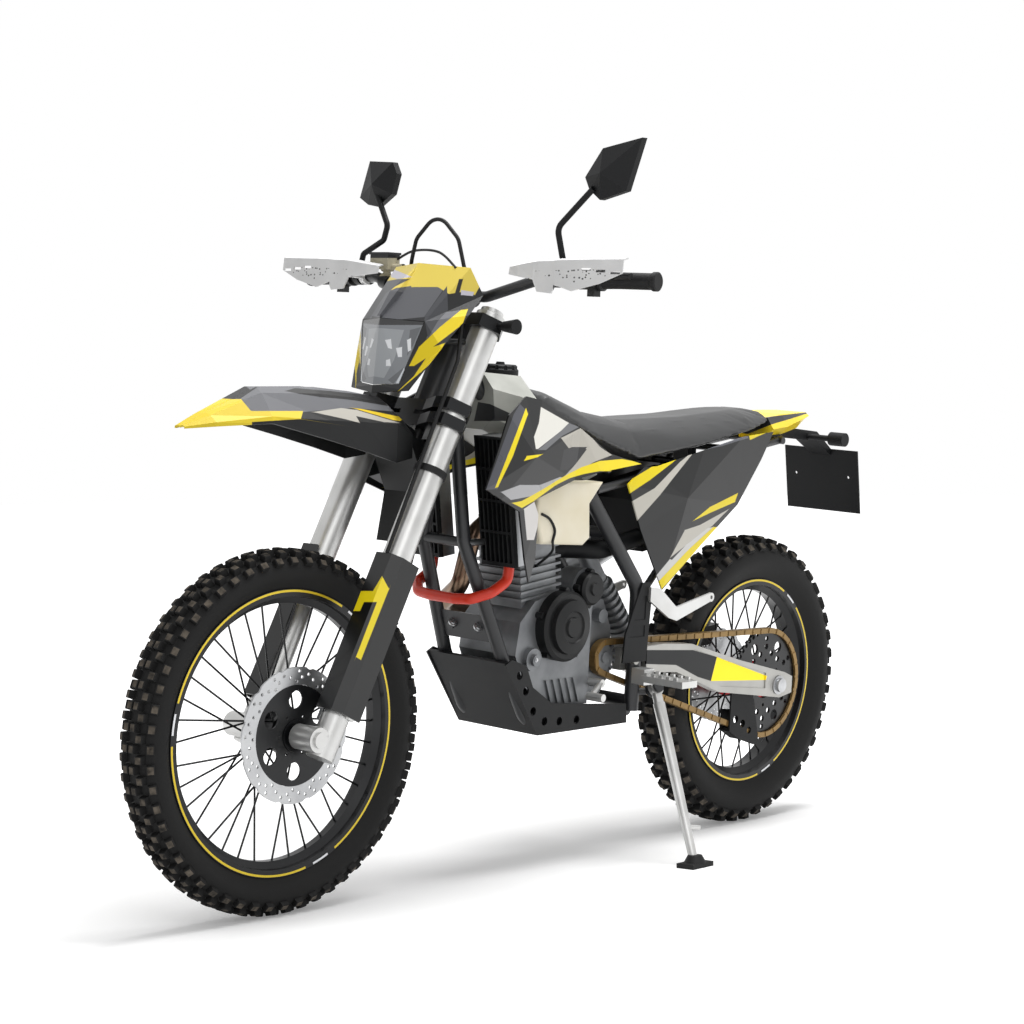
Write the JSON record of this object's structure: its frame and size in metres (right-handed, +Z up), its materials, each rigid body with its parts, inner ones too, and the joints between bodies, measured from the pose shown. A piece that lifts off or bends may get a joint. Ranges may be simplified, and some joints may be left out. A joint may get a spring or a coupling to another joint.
{
  "type": "trail motorcycle",
  "caption": "Enduro trail motorcycle parked on its side stand: knobby spoked wheels, upside-down fork, mask headlight, long seat and chain drive.",
  "frame": {"origin": "centre of the bounding box on the floor", "axes": "+X forward, +Y to the rider's left, +Z up; the bike leans 5 degrees to +Y on its side stand"},
  "size_m": [2.1679, 0.9812, 1.478],
  "materials": {
    "front_tyre": "knobby tread",
    "rear_tyre": "knobby tread",
    "front_rim": "black anodised",
    "rear_rim": "black anodised",
    "front_hub": "black anodised",
    "rear_hub": "red anodised",
    "front_disc": "ground",
    "front_carrier": "black anodised",
    "rear_disc": "ground",
    "rear_sprocket": "black hard coat",
    "front_sprocket": "machined",
    "chain": "gold plated",
    "main_frame": "black powder coat",
    "stand_foot": "moulded",
    "stand_leg": "forged",
    "rear_subframe": "black powder coat",
    "engine_cases": "cast",
    "engine_covers": "black cast",
    "intake": "moulded",
    "exhaust_header": "heat tinted",
    "silencer": "brushed",
    "skid_plate": "moulded",
    "radiators": "plain",
    "radiator_louvres": "moulded",
    "coolant_hoses": "red silicone",
    "fuel_tank": "translucent",
    "tank_cap": "moulded",
    "side_tank": "cream",
    "tank_shrouds": "black with yellow and grey stripes",
    "seat": "matte vinyl",
    "side_panels": "black with yellow and grey stripes",
    "rear_fender": "yellow",
    "plate_holder": "moulded",
    "swingarm": "brushed",
    "rear_axle": "machined",
    "rear_shock": "satin",
    "footpegs": "cast",
    "frame_guards": "moulded",
    "foot_controls": "forged",
    "chain_guide": "moulded",
    "rear_caliper": "black",
    "fork_tubes": "satin anodised",
    "fork_legs": "satin",
    "triple_clamps": "black anodised",
    "fork_guards": "black with yellow stripe",
    "front_caliper": "cast",
    "front_fender": "yellow and grey",
    "headlight_mask": "dark grey with yellow",
    "headlight_lens": "clear lens over reflector",
    "handlebar": "black",
    "grips": "ribbed",
    "control_levers": "black",
    "handguards": "white",
    "mirrors": "moulded",
    "front_indicators": "moulded",
    "brake_hose": "smooth"
  },
  "bodies": {
    "chassis": {"front_sprocket": "front_sprocket", "chain": "chain", "main_frame": "main_frame", "rear_subframe": "rear_subframe", "engine_cases": "engine_cases", "engine_covers": "engine_covers", "intake": "intake", "exhaust_header": "exhaust_header", "silencer": "silencer", "skid_plate": "skid_plate", "radiators": "radiators", "radiator_louvres": "radiator_louvres", "coolant_hoses": "coolant_hoses", "fuel_tank": "fuel_tank", "tank_cap": "tank_cap", "side_tank": "side_tank", "tank_shrouds": "tank_shrouds", "seat": "seat", "side_panels": "side_panels", "rear_fender": "rear_fender", "plate_holder": "plate_holder", "swingarm": "swingarm", "rear_axle": "rear_axle", "rear_shock": "rear_shock", "footpegs": "footpegs", "frame_guards": "frame_guards", "foot_controls": "foot_controls", "chain_guide": "chain_guide", "rear_caliper": "rear_caliper"},
    "steering": {"fork_tubes": "fork_tubes", "fork_legs": "fork_legs", "triple_clamps": "triple_clamps", "fork_guards": "fork_guards", "front_caliper": "front_caliper", "front_fender": "front_fender", "headlight_mask": "headlight_mask", "headlight_lens": "headlight_lens", "handlebar": "handlebar", "grips": "grips", "control_levers": "control_levers", "handguards": "handguards", "mirrors": "mirrors", "front_indicators": "front_indicators", "brake_hose": "brake_hose"},
    "front_wheel": {"front_tyre": "front_tyre", "front_rim": "front_rim", "front_hub": "front_hub", "front_disc": "front_disc", "front_carrier": "front_carrier"},
    "rear_wheel": {"rear_tyre": "rear_tyre", "rear_rim": "rear_rim", "rear_hub": "rear_hub", "rear_disc": "rear_disc", "rear_sprocket": "rear_sprocket"},
    "side_stand": {"stand_foot": "stand_foot", "stand_leg": "stand_leg"}
  },
  "joints": [
    {"name": "steer", "type": "hinge", "parent": "chassis", "child": "steering", "pos_m": [0.33087, -0.0159, 1.0263], "axis": [-0.4462, 0.078, 0.8915], "range_deg": [-39, 45]},
    {"name": "front_wheel_spin", "type": "hinge", "parent": "steering", "child": "front_wheel", "pos_m": [0.73393, -0.07811, 0.34994], "axis": [0.0468, 0.9969, -0.0638], "continuous": true},
    {"name": "rear_wheel_spin", "type": "hinge", "parent": "chassis", "child": "rear_wheel", "pos_m": [-0.748, -0.07632, 0.33577], "axis": [0, 0.9962, -0.0872], "continuous": true},
    {"name": "stand_fold", "type": "hinge", "parent": "chassis", "child": "side_stand", "pos_m": [-0.257, 0.0633, 0.35969], "axis": [0.1222, 0.8954, 0.4282], "range_deg": [0, 105.47]}
  ]
}
